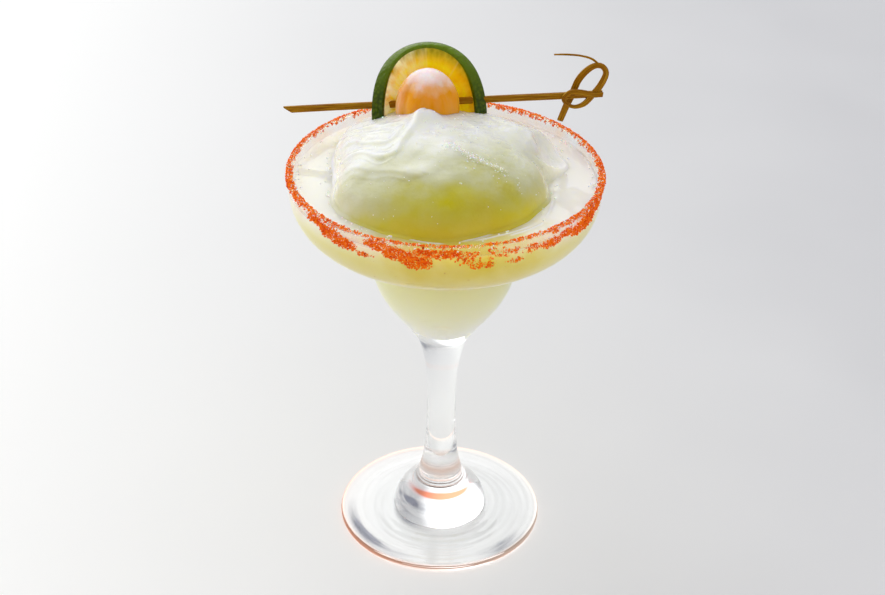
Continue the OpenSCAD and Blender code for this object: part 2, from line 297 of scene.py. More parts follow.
def pressed_glass():
    """Clear glass with the faint waves of a mould in its surface. It carries painted light: a peach glow on
    its thick edge, an orange-red reflection on its shoulder, a peach band low on the stem, dark reflections
    as streaks where it is thickest and a faint glow strongest in the stem. Salt dust stains its lip. Lamps
    shine through it."""
    material, tree, shader = blank_material("pressed_glass")
    place, (x, y, z) = object_place(tree)
    squares = [product(tree, axis, axis) for axis in (x, y)]
    radius = sums(tree, "SQRT", sums(tree, "ADD", *squares))
    turn = sums(tree, "ARCTAN2", x, product(tree, y, -1.0))
    in_stem = sums(tree, "LESS_THAN", radius, stem_widest)
    # painted reflection: the glass is tinted dark grey-blue along streaks, where it would mirror dark
    # surroundings
    clear = mixed(tree, painted_dark_reflections(tree, radius, turn, z), (0.935, 0.943, 0.94), (0.13, 0.14, 0.20))
    # painted reflection: an orange-red tint on the boss shoulder, at the front
    shoulder = product(tree, bell(tree, radius, boss_r - 5.8, 1.6), bell(tree, z, boss_h + 0.6, 3.5))
    shoulder = product(tree, shoulder, bell(tree, turn, 0.05, 1.5), 3.2)
    # painted reflection: a peach band low on the stem
    painted_stem_band = product(tree, bell(tree, z, stem_foot[1] - 2, 3.5), in_stem)
    clear = mixed(tree, painted_stem_band, clear, (0.84, 0.50, 0.36))
    stain = product(tree, bell(tree, z, glass_h - 3.5, 5), mottle(tree, place, 90, 2), 1.1)
    clear = mixed(tree, sums(tree, "MINIMUM", stain, 0.8), clear, (1.0, 0.78, 0.60))
    clear = mixed(tree, sums(tree, "MINIMUM", shoulder, 1.0), clear, (0.84, 0.09, 0.03))
    # painted reflection: the foot's edge glows peach, more orange at the left
    in_edge = sums(tree, "LESS_THAN", z, foot_edge)
    edge = product(tree, climb(tree, radius, foot_r - 1.6, foot_r - 0.2), in_edge)
    peach = mixed(tree, climb(tree, x, -foot_r, foot_r), (1.0, 0.36, 0.16), (1.0, 0.74, 0.60))
    # painted glow: the glass shines faintly as emission, most in the stem
    stem_light = product(tree, bell(tree, z, pinch[1], 34), in_stem)
    shine = mixed(tree, stem_light, (0.016, 0.016, 0.016), (0.135, 0.135, 0.13))
    paint(tree, shader, clear, 0.45, mixed(tree, edge, shine, peach))
    set_inputs(shader, {"Roughness": 0.0, "IOR": 1.5, "Transmission Weight": 1.0})
    bumped(tree, shader, mottle(tree, place, 55, 1), 0.06, 0.0002)
    lamp_light = tree.nodes.new("ShaderNodeBsdfTransparent")
    set_inputs(lamp_light, {"Color": (0.972, 0.978, 0.975, 1)})
    either = tree.nodes.new("ShaderNodeMixShader")
    for given, wanted in (
        (tree.nodes.new("ShaderNodeLightPath").outputs["Is Shadow Ray"], either.inputs[0]),
        (shader.outputs["BSDF"], either.inputs[1]),
        (lamp_light.outputs["BSDF"], either.inputs[2]),
        (either.outputs["Shader"], tree.nodes["Material Output"].inputs["Surface"]),
    ):
        tree.links.new(given, wanted)
    return material


outside = foot_and_stem() + [
    bezier(stem_top, stem_top + [3.4, 7.6], [full_r, full_z - 13], [full_r, full_z], 32)[1:],
    upper_bowl(0),
]
inside = np.vstack([lower_bowl_inside(), upper_bowl(wall)])
lip = arc([rim_r - lip_r, lip_z], lip_r, 0, 180, 14)[1:-1]
glass_points, glass_faces = revolve(np.vstack(outside + [lip, inside[::-1]]), glass_sides)
glass = lay_mesh("glass_body", glass_points, glass_faces)
glass.data.materials.append(pressed_glass())
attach(glass, "root")
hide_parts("glass")


# ---------------------------------------------------------------- Drink
# Cloudy lime and lychee drink, filling both bowls to 5 mm under the lip. Its skin reaches just
# into the wall of the glass, and its surface climbs a little at the glass and round the slush.

level = glass_h - 5.0
drink_reach = 0.25
meniscus_h, meniscus_w = 0.85, 1.1
heap_margin = 11.5
surface_r = np.interp(level, upper_bowl(wall)[:, 1], upper_bowl(wall)[:, 0])
heap_centre = np.array([-1.0, 2.0])
lattice = np.random.default_rng(11).random((24, 24, 24))


def clouds(points, size):
    """Value noise from -1 to 1: random numbers on a lattice of that size, blended smoothly between
    the eight corners round each point."""
    q = np.asarray(points, float) / size
    cell = np.floor(q).astype(int)
    f = q - cell
    f = f * f * (3 - 2 * f)
    total = 0
    for corner in itertools.product((0, 1), repeat=3):
        weight = np.prod(np.where(corner, f, 1 - f), axis=-1)
        at = (cell + corner) % 24
        total = total + weight * lattice[at[..., 0], at[..., 1], at[..., 2]]
    return 2 * total - 1


heap_lobes = np.array([-4, 2, 3, -2, -3.5, 0, 4.5, -1, -5.5, -2.5, 1, 1, 2.5, -0.5, -2, -5.5])


def between(a, b, c, d, t):
    """Catmull-Rom curve from b, where t is 0, to c, where t is 1, with the slopes (c - a) / 2 and
    (d - b) / 2 there, as a cubic in t."""
    return b + t * ((c - a) / 2 + t * ((a - 2.5 * b + 2 * c - d / 2) + t * (3 * b - 3 * c + d - a) / 2))


def heap_reach(a):
    """Distance from the heap's centre to its edge at angle a: a mean radius plus the lobes, evenly
    spaced and joined by a closed curve."""
    count = len(heap_lobes)
    at = (a / (2 * np.pi) % 1) * count
    k = np.floor(at).astype(int)
    return surface_r - heap_margin + between(*(heap_lobes[(k + i) % count] for i in (-1, 0, 1, 2)), at - k)


def smooth_step(x, low, high):
    """0 below low, 1 above high, and an S curve between."""
    t = np.clip((x - low) / (high - low), 0, 1)
    return t * t * (3 - 2 * t)


ripples = [
    # angle of a ripple, painted white as a highlight, half its length in degrees, its way out from the heap,
    # its slant
    (-62, 17, 3.4, 0.06), (-75, 9, 1.4, -0.03), (-50, 12, 5.8, 0.09),
    (-98, 9, 1.6, 0.05), (-28, 9, 5.0, -0.08),
]


def drink_points(segments):
    """The inside of the glass grown by drink_reach, then the surface from the wall to the middle:
    level, plus an exponential climb at the wall and a low bell across each ripple. Returns
    points, faces, the surface's first point and how much painted ripple highlight each point has."""
    grown = np.vstack([lower_bowl_inside(), upper_bowl(wall)])
    grown = grown[grown[:, 1] < level + 0.8]
    along = np.gradient(grown, axis=0)
    normal = np.stack([along[:, 1], -along[:, 0]], 1)
    grown = grown + drink_reach * normal / np.linalg.norm(normal, axis=1)[:, None]
    grown[0] = [0, floor_z - drink_reach]
    edge = grown[-1, 0]
    r = edge - (edge - 0.5) * np.linspace(0, 1, 120)[1:] ** 1.3
    profile = np.vstack([grown, np.stack([r, np.full(len(r), level)], 1), [[0, level]]])
    points, faces = revolve(profile, segments)
    top = len(grown) - 1
    at = points[top * segments:-2]
    radius = np.hypot(at[:, 0], at[:, 1])
    out = at[:, :2] - heap_centre
    gap = np.hypot(*out.T) - heap_reach(np.arctan2(out[:, 1], out[:, 0]))
    turn = np.degrees(np.arctan2(at[:, 1], at[:, 0]))
    ripple_highlight = 0
    for middle, half, away, slant in ripples:
        line = np.exp(-(((gap - away - slant * (turn - middle)) / 0.42) ** 2))
        ripple_highlight = np.maximum(ripple_highlight, line * smooth_step(-np.abs(turn - middle), -half, -0.6 * half))
    at[:, 2] += meniscus_h * np.exp((radius - edge) / meniscus_w) + 0.35 * ripple_highlight
    at[:, 2] += 0.10 * clouds(at * [1, 1, 0], 7)
    streaks = np.zeros(len(points))
    streaks[top * segments:-2] = ripple_highlight
    return points, faces, (len(grown) - 2) * segments, streaks


def colour_ramp(tree, value, stops):
    """A colour ramp with (position, colour) stops, driven by value; returns its colour."""
    ramp = tree.nodes.new("ShaderNodeValToRGB")
    elements = ramp.color_ramp.elements
    while len(elements) < len(stops):
        elements.new(0.5)
    for element, (position, colour) in zip(elements, stops):
        element.position = position
        element.color = (*colour, 1)
    tree.links.new(value, ramp.inputs["Fac"])
    return ramp.outputs["Color"]


def attribute(tree, name):
    """The node that reads a value stored at each point of the mesh."""
    node = tree.nodes.new("ShaderNodeAttribute")
    node.attribute_name = name
    return node.outputs


def store(piece, name, kind, values):
    """Stores one number, or one vector, at each point of a piece's mesh, for its material to read."""
    key = "value" if kind == "FLOAT" else "vector"
    piece.data.attributes.new(name, kind, "POINT").data.foreach_set(key, np.ravel(values))


def glow(tree, place, middle, reach, mottled):
    """Mask that is 1 at a point in millimetres and falls to 0 at the given reach along each axis,
    its edge broken up by soft patches."""
    shift = tree.nodes.new("ShaderNodeMapping")
    shift.vector_type = "TEXTURE"
    set_inputs(shift, {"Location": [m * MM for m in middle], "Scale": [r * MM for r in reach]})
    tree.links.new(place, shift.inputs["Vector"])
    length = tree.nodes.new("ShaderNodeVectorMath")
    length.operation = "LENGTH"
    tree.links.new(shift.outputs["Vector"], length.inputs[0])
    patches = product(tree, sums(tree, "SUBTRACT", mottle(tree, place, 90, 4), 0.5), mottled)
    fall = tree.nodes.new("ShaderNodeMapRange")
    fall.interpolation_type = "SMOOTHSTEP"
    set_inputs(fall, {"From Min": 1.0, "From Max": 0.1})
    tree.links.new(sums(tree, "ADD", length.outputs["Value"], patches), fall.inputs["Value"])
    return fall.outputs["Result"]


def cloudy_drink(name, ior, milk_and_sheen, lit):
    """Cloudy liquid: light scatters a few millimetres inside it. It is yellow-green at the front, where
    it is deepest, with a painted yellow backlight glow there, paler low in the bowl as painted light, and
    milky white at the sides of the surface, partly thin slush and partly painted reflection; lit is the
    strength of a painted glow for the light that the window sends right through it to the side seen here."""
    material, tree, shader = blank_material(name)
    place, (x, y, z) = object_place(tree)
    # painted light: the drink is paler low in the bowl, lightened for the light that comes through it there
    body = colour_ramp(tree, climb(tree, z, floor_z, level), [
        (0.0, (0.96, 0.96, 0.83)), (0.3, (0.93, 0.92, 0.60)), (0.52, (0.90, 0.87, 0.44)),
        (0.72, (0.83, 0.74, 0.27)), (0.9, (0.87, 0.80, 0.34)), (1.0, (0.95, 0.94, 0.80)),
    ])
    warm = mixed(tree, climb(tree, x, 0, 50), (0.83, 0.84, 0.735), (1.0, 0.94, 0.80))
    # the surface is milky white at the sides, partly thin slush and partly a painted reflection
    hue = mixed(tree, milk_and_sheen, body, warm)
    # painted backlight: a yellow glow at the front, where window light comes through the drink
    hue = mixed(tree, glow(tree, place, (4, -50, 151), (48, 32, 20), 0.3), hue, (0.76, 0.63, 0.05))
    hue = mixed(tree, product(tree, mottle(tree, place, 60, 2), 0.12), hue, (0.93, 0.93, 0.84))
    # painted highlight: white along the ripples, where the window glints on the drink
    hue = mixed(tree, attribute(tree, "ripple_highlight")["Fac"], hue, (1.0, 1.0, 1.0))
    paint(tree, shader, hue, lit)
    set_inputs(shader, {
        "Roughness": 0.04, "IOR": ior,
        "Subsurface Weight": 1.0, "Subsurface Radius": (1.0, 0.97, 0.6), "Subsurface Scale": 0.025,
    })
    return material


points, faces, top_start, ripple_highlight = drink_points(320)
drink = lay_mesh("drink_fill", points, faces)
store(drink, "ripple_highlight", "FLOAT", ripple_highlight)
drink.data.materials.append(cloudy_drink("drink_against_glass", 1.02, 0.0, 0.15))
drink.data.materials.append(cloudy_drink("drink_surface", 1.34, 0.9, 0.06))
first_corner = np.array([face[0] for face in faces])
lowest_pole = len(points) - 2
on_top = (first_corner >= top_start) & (first_corner != lowest_pole)
drink.data.polygons.foreach_set("material_index", on_top.astype(np.int32))
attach(drink, "root")
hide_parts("drink")


# ---------------------------------------------------------------- Slush
# A heap of wet ice slush spooned on top: layered folds at the left, one small peak in front of the
# lychee, coarse crystals at the right, and a clear, melting foot at the front, yellow-green from the drink
# in it and from painted backlight.

heap_h = 19.0
fillet_h, fillet_w = 1.2, 0.9
skirt_h = 3
peak_h = 5.0
peak_at = np.array([-6.9, 11.0])
peak_bells = [(0.48, 4.5), (0.60, 17)]  # share of the peak's height, and half-width
tongue_at, tongue_half = np.radians(12), np.radians(9)
folds = [
    # route in plan, height of the crest, width on its steep side
    ([(-43, 2), (-33, -6), (-23, -14), (-17, -12), (-14, -3), (-9, 10)], 1.2, 1.0),
    ([(-43, -9), (-30, -18), (-17, -24), (-8, -26)], 0.8, 1.0),
    ([(-43, 12), (-31, 3), (-21, -4), (-16, 3)], 0.8, 0.8),
    ([(-43, 24), (-30, 14), (-19, 8)], 0.7, 0.9),
    ([(-42, -3), (-32, -10), (-24, -18), (-19, -17)], 0.35, 0.45),
    ([(-43, 7), (-31, -2), (-22, -9), (-18, -8)], 0.35, 0.45),
    ([(-42, 18), (-30, 9), (-20, 3)], 0.35, 0.45),
    ([(-41, -15), (-28, -22), (-14, -28)], 0.4, 0.6),
    ([(-5.6, -2.5), (-4.4, -3.2)], 0.7, 0.7),
    ([(1, -12), (10, -17), (20, -20)], 0.6, 0.7),
    ([(10, 6), (18, -4), (29, -8)], 0.35, 2.0),
    ([(18, 22), (27, 12), (36, 8)], 0.5, 1.6),
]
bulges = [
    # angle round the heap and half-width of the bulge in degrees, how far out it stands
    (12, 7, 3.5), (-6, 6, -2.5), (-24, 8, 2.0), (-150, 10, 1.5),
]


def smooth_route(route, steps):
    """Catmull-Rom curve through every row of the route, with that many steps between two rows."""
    p = np.array(route, float)
    p = np.concatenate([p[:1], p, p[-1:]])
    t = (np.arange(steps) / steps)[None, :, None]
    curve = between(*(p[i:len(p) - 3 + i, None] for i in range(4)), t)
    return np.concatenate([curve.reshape(-1, p.shape[1]), p[-1:]])


def crest(xy, route, steep):
    """Height from 0 to 1 of a folded layer: a bell of the distance to the route, three times as wide
    on its gentle side as on its steep side."""
    route = smooth_route(route, 6)
    nearest = np.full(len(xy), 1e9)
    side = np.zeros(len(xy))
    for a, b in zip(route[:-1], route[1:]):
        d = b - a
        t = np.clip(((xy - a) @ d) / (d @ d), 0, 1)
        away = xy - (a + t[:, None] * d)
        dist = np.hypot(*away.T)
        turn = np.sign(d[0] * away[:, 1] - d[1] * away[:, 0])
        side = np.where(dist < nearest, turn, side)
        nearest = np.minimum(dist, nearest)
    width = np.where(side > 0, steep * 3, steep)
    return np.exp(-((nearest / width) ** 2))


def bell_curve(x, middle, half):
    """1 at the middle, falling off as exp(-t squared) with t the distance in halves."""
    return np.exp(-(((x - middle) / half) ** 2))


def dome(rings, cols):
    """The heap before its relief: a dome over the lobed outline, with bulges at its edge, a flat
    tongue out to the right, the peak, and a fillet running out on the drink. Returns the grid of
    points and, for each of its rings, the share of the way out to the edge."""
    u = np.sin(np.linspace(0, np.pi / 2, rings + 1))[1:]
    u = np.concatenate([u, 1 + np.linspace(0, 0.09, 13)[1:]])[:, None]
    a = np.linspace(0, 2 * np.pi, cols, endpoint=False)[None, :]
    turn = (a + np.pi) % (2 * np.pi) - np.pi
    reach = heap_reach(a) + 0.5 * clouds(np.stack([np.cos(a) * 9, np.sin(a) * 9, 0 * a], -1), 2.2)
    for at, half, out in bulges:
        bulge = bell_curve(turn, np.radians(at), np.radians(half))
        reach = reach + out * bulge * smooth_step(u, 0.55, 1)
    x = heap_centre[0] + u * reach * np.cos(a)
    y = heap_centre[1] + u * reach * np.sin(a)
    tongue = 0.88 * bell_curve(turn, tongue_at, tongue_half) * smooth_step(u, 0.72, 0.9)
    z = level + heap_h * np.maximum(1 - u**2.2, 0) ** 0.47 * (1 - 0.0035 * y) * (1 - tongue)
    from_peak = np.hypot(x - peak_at[0], y - peak_at[1])
    for share, half in peak_bells:
        z = z + share * peak_h * bell_curve(from_peak, 0, half)
    fillet = fillet_h * np.exp(-np.maximum(u - 1, 0) * reach / fillet_w)
    return np.stack([x, y, level + np.hypot(z - level, fillet) - 0.25], 2), u[:, 0]


def slush_heap(rings, cols):
    """The dome with its folds, wrinkles and crystals standing square to it. Returns points, faces
    and how frosty, from clear 0 to white 1, each point is."""
    base, u = dome(rings, cols)
    normal = np.cross(np.gradient(base, axis=0), np.roll(base, -1, 1) - np.roll(base, 1, 1))
    normal = (normal / np.linalg.norm(normal, axis=2)[..., None]).reshape(-1, 3)
    flat = base.reshape(-1, 3)
    fade = np.repeat(np.maximum(1 - u**14, 0), cols)
    wander = flat[:, :2] + 1.6 * np.stack([clouds(flat, 8), clouds(flat + 50, 8)], 1)
    lift = sum(high * crest(wander, route, steep) for route, high, steep in folds)
    wrinkles = 0.9 * clouds(flat, 13) + 0.4 * clouds(flat, 6)
    coarse = smooth_step(flat[:, 0], -4, 8) * smooth_step(flat[:, 2], level + 6, level + 11)
    coarse = coarse * smooth_step(clouds(flat, 7), -0.2, 0.5)
    crystals = 0.10 * clouds(flat, 2.6) + 0.28 * np.abs(clouds(flat, 1.3)) * coarse
    unmelted = 0.25 + 0.75 * smooth_step(flat[:, 2], level + 3, level + 13)
    lift = (lift + wrinkles + crystals) * unmelted
    points = flat + normal * (lift * fade)[:, None]
    frost = smooth_step(lift, -0.4, 1.6)
    skirt = points[-cols:] - [0, 0, skirt_h]
    poles = [[*heap_centre, level + heap_h], [*heap_centre, level - skirt_h]]
    frost = np.concatenate([frost, frost[-cols:], [1, 0]])
    return np.vstack([points, skirt, poles]), wrapped_faces(len(u) + 1, cols), frost


def wet_slush():
    """Wet ice: milky white where it is thick, yellow-green where it is melting and the drink shows through,
    with painted window light glowing there and near the drink, whiter along the crests of its folds, glossy
    all over."""
    material, tree, shader = blank_material("wet_slush")
    place, (x, y, z) = object_place(tree)
    frost = attribute(tree, "frost")["Fac"]
    # the yellow-green is partly the drink seen through melting ice and partly painted backlight glowing
    # through it
    melt_and_backlight = glow(tree, place, (6, -40, 147), (66, 66, 36), 0.13)
    melt_and_backlight = sums(tree, "SUBTRACT", melt_and_backlight, product(tree, frost, 0.06), clamp=True)
    hue = colour_ramp(tree, melt_and_backlight, [
        (0.0, (0.85, 0.86, 0.83)), (0.14, (0.72, 0.73, 0.58)), (0.30, (0.60, 0.60, 0.34)),
        (0.48, (0.57, 0.54, 0.10)), (0.66, (0.58, 0.52, 0.0)), (1.0, (0.60, 0.48, 0.0)),
    ])
    hue = mixed(tree, product(tree, mottle(tree, place, 110, 4), 0.16), hue, (0.70, 0.66, 0.20))
    hue = mixed(tree, product(tree, frost, 0.3), hue, (0.90, 0.91, 0.88))
    # painted glow: low down near the drink the slush shines in its own colour, for window light coming
    # through
    near_drink = climb(tree, z, level + 9, level + 1)
    paint(tree, shader, hue, 0.18, mixed(tree, near_drink, (0.0, 0.0, 0.0), hue))
    set_inputs(shader, {
        "Roughness": 0.12, "IOR": 1.33, "Specular IOR Level": 0.3,
        "Subsurface Weight": 1.0, "Subsurface Radius": (1.0, 0.97, 0.55), "Subsurface Scale": 0.008,
    })
    fine = product(tree, mottle(tree, place, 900, 2), 0.5)
    bumped(tree, shader, sums(tree, "ADD", mottle(tree, place, 260, 4), fine), 0.35, 0.0003)
    return material


heap_points, faces, frost = slush_heap(170, 400)
slush = lay_mesh("slush_heap", heap_points, faces)
store(slush, "frost", "FLOAT", frost)
slush.data.materials.append(wet_slush())
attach(slush, "root")
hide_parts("slush")


# ---------------------------------------------------------------- Salted lip
# Coarse chilli salt stuck to the wet lip: orange-red grains all the way round, thick clumps hanging
# down the outside at the front, with white salt crystals and a few dark red chilli flakes between.

grain_draw = np.random.default_rng(23)
clumps = [
    # angle round the lip and way down from its crest, the clump's half-width in degrees, its
    # half-height, and how thick it is
    (-141, 2.4, 6, 2.0, 1.0), (-134, 4.4, 5.5, 2.6, 1.2), (-127, 6.0, 6, 2.6, 1.2), (-119, 7.8, 4, 1.2, 0.8),
    (-113, 2.8, 5.5, 2.2, 1.2), (-106, 4.8, 6, 2.8, 1.2), (-99, 6.8, 5.5, 3.0, 1.3), (-96, 3.2, 6, 2.4, 1.1),
    (-88, 2.8, 6, 1.8, 1.0), (-82, 4.5, 6, 2.8, 0.6), (-76, 8.0, 7, 1.8, 0.6), (-66, 8.4, 6, 1.6, 0.55),
    (-70, 4.0, 8, 2.8, 0.5), (-58, 4.6, 5, 2.2, 0.85), (-50, 5.4, 4.5, 2.2, 1.0), (-43, 4.2, 5, 2.0, 0.8),
    (-36, 5.4, 5, 2.6, 1.2), (-29, 4.8, 5.5, 3.2, 1.3), (-21, 3.2, 5, 2.0, 1.0), (170, 2.0, 9, 1.0, 0.4),
]


def lip_place(drop, angle):
    """A point of the lip and the direction outwards there: drop is the way round the half-round lip
    from its crest and on down the wall, outside where positive, inside where negative."""
    quarter = lip_r * np.pi / 2
    turn = np.clip(drop / lip_r, -np.pi / 2, np.pi / 2)
    below = np.sign(drop) * np.maximum(np.abs(drop) - quarter, 0)
    out_r = np.interp(lip_z - np.abs(below), upper_bowl(0)[:, 1], upper_bowl(0)[:, 0]) - rim_r
    r = rim_r - lip_r + lip_r * np.sin(turn) + out_r
    z = lip_z + lip_r * np.cos(turn) - np.abs(below)
    at = np.stack([r * np.cos(angle), r * np.sin(angle), z], 1)
    tilt = np.sin(turn)
    out = np.stack([tilt * np.cos(angle), tilt * np.sin(angle), np.cos(turn)], 1)
    return at, out


def lip_cover(drop, angle):
    """How thickly the lip is covered, 0 to 1: a band along the crest, wider at the sides and the
    back, and the hanging clumps."""
    degrees = np.degrees((angle + np.pi) % (2 * np.pi) - np.pi)
    side = 1 - smooth_step(-np.sin(angle), 0.2, 0.95)
    band = (0.74 + 0.2 * side) * np.exp(-(((drop - 0.2 - 0.5 * side) / (1.15 + 0.9 * side)) ** 2))
    for at, down, half, high, dense in clumps:
        away = ((degrees - at) / half) ** 2 + ((drop - down) / high) ** 2
        band = np.maximum(band, 1.15 * dense * np.exp(-(away**1.5)))
    return band


def chips(at, out, radius):
    """Chipped cubic crystals sitting on a surface: the eight corners of a cube moved in and out,
    squashed, turned at random and lifted outwards by half the radius. Returns points and faces."""
    cube = np.array(list(itertools.product((-1, 1), repeat=3))) / 3**0.5
    hull = np.array([(0, 1, 3, 2), (4, 6, 7, 5), (0, 4, 5, 1), (2, 3, 7, 6), (0, 2, 6, 4), (1, 5, 7, 3)])
    n = len(at)
    shape = cube[None] * (1 + grain_draw.uniform(-0.35, 0.25, (n, 8, 1)))
    shape = shape * grain_draw.uniform(0.6, 1.2, (n, 1, 3)) * radius[:, None, None]
    turn, _ = np.linalg.qr(grain_draw.normal(size=(n, 3, 3)))
    turn = turn * np.sign(np.linalg.det(turn))[:, None, None]
    shape = np.einsum("nij,nkj->nki", turn, shape)
    points = (at + out * radius[:, None] * 0.5)[:, None] + shape
    faces = (hull[None] + 8 * np.arange(n)[:, None, None]).reshape(-1, 4)
    return points.reshape(-1, 3), faces.tolist()


def grains(count, size, threshold, seed_shift, lowest):
    """Crystals on the lip, down to the lowest drop: tries are drawn over it and kept where the cover,
    broken up by noise, beats the draw."""
    tries = count * 14
    drop = grain_draw.uniform(-3.2, 10, tries)
    angle = grain_draw.uniform(-np.pi, np.pi, tries)
    at, out = lip_place(drop, angle)
    speckle = 0.7 * clouds(at + seed_shift, 1.1) + 0.5 * clouds(at - seed_shift, 3.2)
    cover = lip_cover(drop, angle) * smooth_step(-drop, -lowest, 1 - lowest)
    keep = cover + 0.40 * speckle > threshold + grain_draw.uniform(0, 0.8, tries)
    at, out = at[keep][:count], out[keep][:count]
    return chips(at, out, size[0] + (size[1] - size[0]) * grain_draw.random(len(at)) ** 2.2)


def crystal(name, low, high, roughness, scatter):
    """Crystals whose colour differs from grain to grain, between low and high, with a faint painted glow in
    that colour.
    """
    material, tree, shader = blank_material(name)
    place, _ = object_place(tree)
    # painted glow: each grain shines faintly in its own colour
    paint(tree, shader, mixed(tree, mottle(tree, place, 700, 2), low, high), 0.10)
    set_inputs(shader, {
        "Roughness": roughness, "Specular IOR Level": 0.12, "Subsurface Weight": scatter,
        "Subsurface Radius": (1.0, 0.5, 0.3), "Subsurface Scale": 0.0003,
    })
    bumped(tree, shader, mottle(tree, place, 2500, 2), 0.3, 0.0001)
    return material


salt_kinds = [
    # name, most grains, least and most radius, threshold, noise shift, lowest drop, finish
    ("chilli_salt", 16000, (0.15, 0.50), 0.33, 3, 11,
     crystal("chilli_salt", (0.80, 0.075, 0.0), (0.98, 0.25, 0.004), 0.5, 0.25)),
    ("white_salt", 2600, (0.14, 0.38), 0.30, 41, 2.6,
     crystal("white_salt", (0.96, 0.74, 0.62), (1.0, 0.95, 0.92), 0.12, 0.8)),
    ("chilli_flakes", 420, (0.2, 0.45), 0.42, 77, 9,
     crystal("chilli_flake", (0.33, 0.01, 0.004), (0.60, 0.05, 0.01), 0.35, 0.2)),
]
for name, count, size, threshold, shift, lowest, look in salt_kinds:
    points, faces = grains(count, size, threshold, shift, lowest)
    salt = lay_mesh(name, points, faces, smooth=False)
    salt.data.materials.append(look)
    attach(salt, "root")
    if name == "chilli_salt":
        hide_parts("salt_rim")


# ---------------------------------------------------------------- Ice crystals, specks and bubbles
# What melts and floats: coarse clear ice along the right of the heap, specks of chilli washed off
# the lip into the drink, and tiny bubbles on the drink along the glass and round the heap.

streak_from, streak_to, streak_half = np.array([1.0, -12.0]), np.array([21.0, -21.0]), 1.5
streak_way = streak_to - streak_from
from_start = heap_points[:, :2] - streak_from
along = np.clip(from_start @ streak_way / (streak_way @ streak_way), 0, 1)
off_streak = np.linalg.norm(from_start - along[:, None] * streak_way, axis=1)
chance = 0.30 * bell_curve(off_streak, 0, streak_half) + 0.004
chosen = heap_points[(grain_draw.random(len(heap_points)) < chance) & (heap_points[:, 2] > level + 4)]
outwards = chosen - [*heap_centre, level - 8]
outwards /= np.linalg.norm(outwards, axis=1)[:, None]
points, faces = chips(chosen, outwards * 0.2, grain_draw.uniform(0.12, 0.42, len(chosen)))
ice = lay_mesh("ice_crystals", points, faces, smooth=False)
ice.data.materials.append(crystal("clear_ice", (0.95, 0.96, 0.94), (1.0, 1.0, 1.0), 0.06, 1.0))
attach(ice, "root")

big_specks = np.array([
    # angle round the bowl, height, radius
    (-89.6, 146.5, 0.42), (-81.0, 143.0, 0.34), (-117.0, 140.0, 0.30),
])
small_specks = 40
speck_turn = np.radians(np.concatenate([big_specks[:, 0], grain_draw.uniform(-180, 180, small_specks)]))
speck_z = np.concatenate([big_specks[:, 1], grain_draw.uniform(neck_z + 4, level - 3, small_specks)])
speck_r = np.interp(speck_z, upper_bowl(wall)[:, 1], upper_bowl(wall)[:, 0]) + drink_reach
out = np.stack([np.cos(speck_turn), np.sin(speck_turn), 0 * speck_turn], 1)
at = out * speck_r[:, None] + speck_z[:, None] * [0, 0, 1]
speck_size = np.concatenate([big_specks[:, 2], grain_draw.uniform(0.12, 0.26, small_specks)])
points, faces = chips(at, -out * 0.2, speck_size)
specks = lay_mesh("chilli_specks", points, faces, smooth=False)
specks.data.materials.append(crystal("washed_chilli", (0.42, 0.16, 0.02), (0.60, 0.30, 0.05), 0.4, 0.2))
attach(specks, "root")


def bubbles(at, radius, rings=6, cols=10):
    """Small spheres: radius times the sine and cosine of the polar angle, one at each point."""
    t = np.linspace(0, np.pi, rings + 2)[::-1]
    ball, faces = revolve(np.stack([np.sin(t), np.cos(t)], 1), cols)
    points = at[:, None] + ball[None] * radius[:, None, None]
    each = [[i + k * len(ball) for i in face] for k in range(len(at)) for face in faces]
    return points.reshape(-1, 3), each


bubble_count, at_the_glass = 260, 150
angle = grain_draw.uniform(-np.pi, np.pi, bubble_count)
by_glass = np.arange(bubble_count) < at_the_glass
away = grain_draw.exponential(0.8, bubble_count)
heading = np.stack([np.cos(angle), np.sin(angle)], 1)
by_heap = heap_centre + (heap_reach(angle) + 2.2 + away)[:, None] * heading
floating = np.where(by_glass[:, None], (surface_r - 0.5 - away)[:, None] * heading, by_heap)
rise = np.where(by_glass, meniscus_h * np.exp(-away / meniscus_w), 0.1)
size = grain_draw.uniform(0.12, 0.40, bubble_count)
points, faces = bubbles(np.column_stack([floating, level + rise]), size)
foam_beads = lay_mesh("small_bubbles", points, faces)
foam_beads.data.materials.append(crystal("bubble_skin", (0.97, 0.97, 0.93), (1.0, 1.0, 1.0), 0.05, 1.0))
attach(foam_beads, "root")


# ---------------------------------------------------------------- Lime wheel
# One slice of lime, rind and all, folded round an upright line so that it cups the lychee. Ten
# segments with thin skins between them; the rind is dark green, glossy and pitted with oil glands.

wheel_r, wheel_t, bend_r = 25.7, 4.6, 21.2
edge_round = 0.9
wheel_back = np.array([-7.2, surface_r - 0.1 - 17.0, level + 10.5])
wheel_turns = Matrix.Rotation(np.radians(4.2), 3, "Z") @ Matrix.Rotation(np.radians(-2.3), 3, "Y")
wheel_turns = np.array(wheel_turns @ Matrix.Rotation(np.radians(-6.6), 3, "X"))
segments = 10
rind_t, skin_t = 2.4, 0.625


def bent_slice(flat, depth):
    """Folds the flat slice: the way across it becomes an angle on a circle of bend_r, depth is added
    to that radius, and the whole is leaned, tilted and turned into its place in the glass."""
    turn = flat[:, 0] / bend_r
    r = bend_r + depth
    p = np.stack([r * np.sin(turn), r * np.cos(turn) - bend_r, flat[:, 1]], 1)
    return p @ wheel_turns.T + wheel_back


